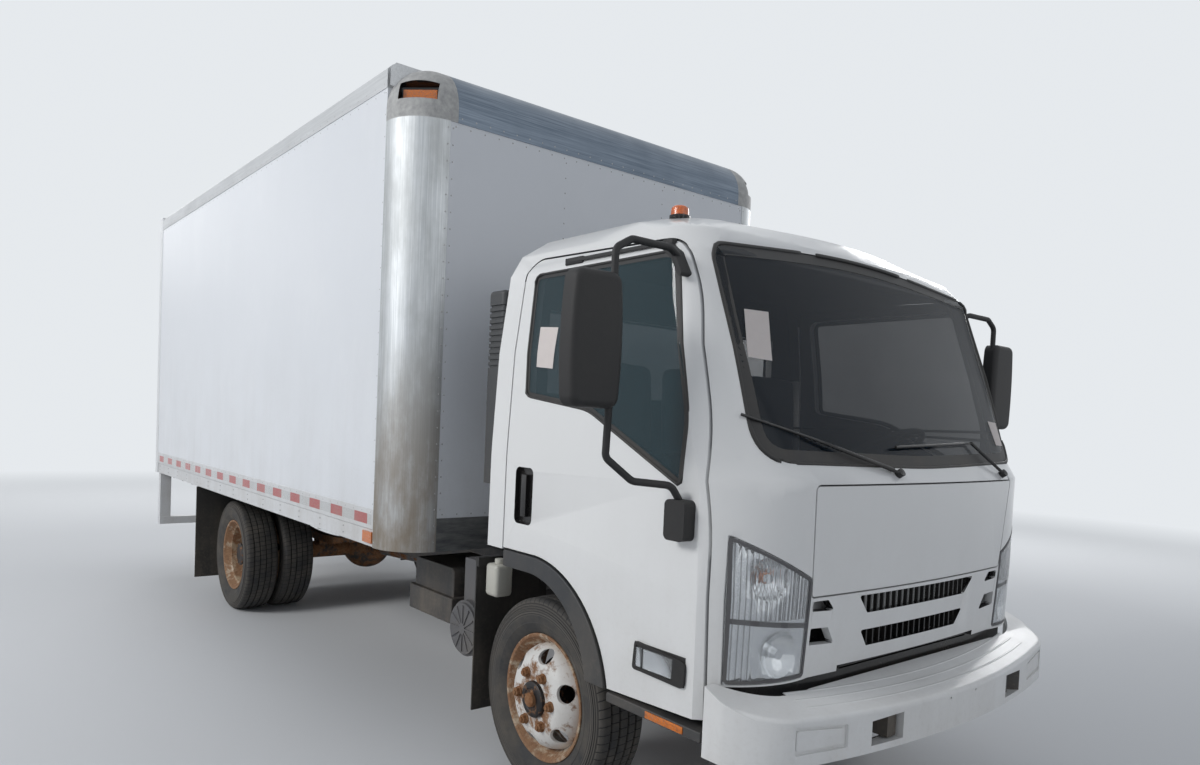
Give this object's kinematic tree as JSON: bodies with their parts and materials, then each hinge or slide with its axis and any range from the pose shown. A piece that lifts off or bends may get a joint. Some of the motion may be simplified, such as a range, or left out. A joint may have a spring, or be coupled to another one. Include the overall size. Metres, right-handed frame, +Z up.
{
  "type": "low cab forward box truck",
  "caption": "Two-axle low cab forward truck with a dry freight box, tilting cab, opening doors, steered front wheels and twin rear wheels.",
  "frame": {"origin": "on the ground under the middle of the truck's overall length and width", "axes": "+X forward towards the cab, +Y to the truck's left, +Z up"},
  "size_m": [6.95, 2.8242, 3.152],
  "materials": {
    "cab_paint": "white semi-gloss paint",
    "panel_paint": "white prefinished panel",
    "frame_black": "black chassis paint, dusty",
    "axle_steel": "dirty cast steel",
    "engine_grey": "bare casting",
    "exhaust_steel": "dull steel",
    "tank_black": "black coated steel",
    "black_plastic": "grained black plastic",
    "flap_rubber": "black rubber sheet",
    "floor_steel": "black floor steel",
    "rail_white": "white painted aluminium",
    "post_aluminium": "mill finish",
    "amber_lens": "amber lens",
    "header_sheet": "sheet",
    "roof_sheet": "sheet",
    "lamp_lens": "clear lens",
    "lamp_housing": "bright metallised plastic",
    "red_lens": "red lens",
    "window_glass": "tinted glass",
    "seat_cloth": "grey cloth",
    "dash_plastic": "dark grey plastic",
    "wheel_paint": "white paint with rust",
    "rear_wheel_paint": "worn paint, rusty",
    "tyre": "dusty rubber"
  },
  "bodies": {
    "chassis": {"frame_rails": "frame_black", "frame_crossmembers": "frame_black", "front_axle": "axle_steel", "rear_axle": "axle_steel", "powertrain": "engine_grey", "exhaust": "exhaust_steel", "fuel_tank": "tank_black", "battery_box": "frame_black", "air_cleaner": "black_plastic", "front_bumper": "cab_paint", "mudflaps": "flap_rubber", "cargo_floor": "floor_steel", "cargo_side_rails": "rail_white", "cargo_walls": "panel_paint", "corner_posts": "post_aluminium", "front_header": "header_sheet", "cargo_roof": "roof_sheet", "rear_frame": "rail_white", "rollup_door": "panel_paint", "box_lamps": "red_lens"},
    "cab": {"cab_shell": "cab_paint", "cab_glass": "window_glass", "grille": "cab_paint", "headlamps": "lamp_housing", "headlamp_lenses": "lamp_lens", "seats": "seat_cloth", "dashboard": "dash_plastic", "intake_snorkel": "black_plastic", "arch_flares_and_steps": "black_plastic", "roof_beacon": "amber_lens", "wipers": "black_plastic"},
    "left_door": {"door_left": "cab_paint", "door_glass_left": "window_glass", "mirror_left": "black_plastic"},
    "right_door": {"door_right": "cab_paint", "door_glass_right": "window_glass", "mirror_right": "black_plastic"},
    "service_lid": {"front_lid": "cab_paint"},
    "left_knuckle": {"knuckle_left": "axle_steel"},
    "right_knuckle": {"knuckle_right": "axle_steel"},
    "steering_link": {"tie_rod": "axle_steel"},
    "front_left_wheel": {"front_wheel_left": "wheel_paint", "front_tyre_left": "tyre"},
    "front_right_wheel": {"front_wheel_right": "wheel_paint", "front_tyre_right": "tyre"},
    "rear_left_wheels": {"rear_wheels_left": "rear_wheel_paint", "rear_tyres_left": "tyre"},
    "rear_right_wheels": {"rear_wheels_right": "rear_wheel_paint", "rear_tyres_right": "tyre"}
  },
  "joints": [
    {"name": "cab_tilt", "type": "hinge", "parent": "chassis", "child": "cab", "pos_m": [3.255, 0, 0.76], "axis": [0, 1, 0], "range_deg": [0, 45]},
    {"name": "left_door_hinge", "type": "hinge", "parent": "cab", "child": "left_door", "pos_m": [3.125, 1.006, 1.1], "axis": [0, 0, -1], "range_deg": [0, 70]},
    {"name": "right_door_hinge", "type": "hinge", "parent": "cab", "child": "right_door", "pos_m": [3.125, -1.006, 1.1], "axis": [0, 0, 1], "range_deg": [0, 70]},
    {"name": "service_lid_hinge", "type": "hinge", "parent": "cab", "child": "service_lid", "pos_m": [3.327, 0, 1.356], "axis": [0, -1, 0], "range_deg": [0, 70]},
    {"name": "left_steering", "type": "hinge", "parent": "chassis", "child": "left_knuckle", "pos_m": [2.195, 0.7, 0.405], "axis": [0, 0, 1], "range_deg": [-35, 35]},
    {"name": "right_steering", "type": "hinge", "parent": "chassis", "child": "right_knuckle", "pos_m": [2.195, -0.7, 0.405], "axis": [0, 0, 1], "range_deg": [-35, 35]},
    {"name": "tie_rod_pivot", "type": "hinge", "parent": "left_knuckle", "child": "steering_link", "pos_m": [2.005, 0.7, 0.299], "axis": [0, 0, 1], "range_deg": [-35, 35]},
    {"name": "front_left_spin", "type": "hinge", "parent": "left_knuckle", "child": "front_left_wheel", "pos_m": [2.195, 0.832, 0.405], "axis": [0, 1, 0], "continuous": true},
    {"name": "front_right_spin", "type": "hinge", "parent": "right_knuckle", "child": "front_right_wheel", "pos_m": [2.195, -0.832, 0.405], "axis": [0, 1, 0], "continuous": true},
    {"name": "rear_left_spin", "type": "hinge", "parent": "chassis", "child": "rear_left_wheels", "pos_m": [-1.615, 0.829, 0.405], "axis": [0, 1, 0], "continuous": true},
    {"name": "rear_right_spin", "type": "hinge", "parent": "chassis", "child": "rear_right_wheels", "pos_m": [-1.615, -0.829, 0.405], "axis": [0, 1, 0], "continuous": true}
  ],
  "couplings": [
    {"joint": "right_steering", "follows": "left_steering", "ratio": 1},
    {"joint": "tie_rod_pivot", "follows": "left_steering", "ratio": -1}
  ]
}
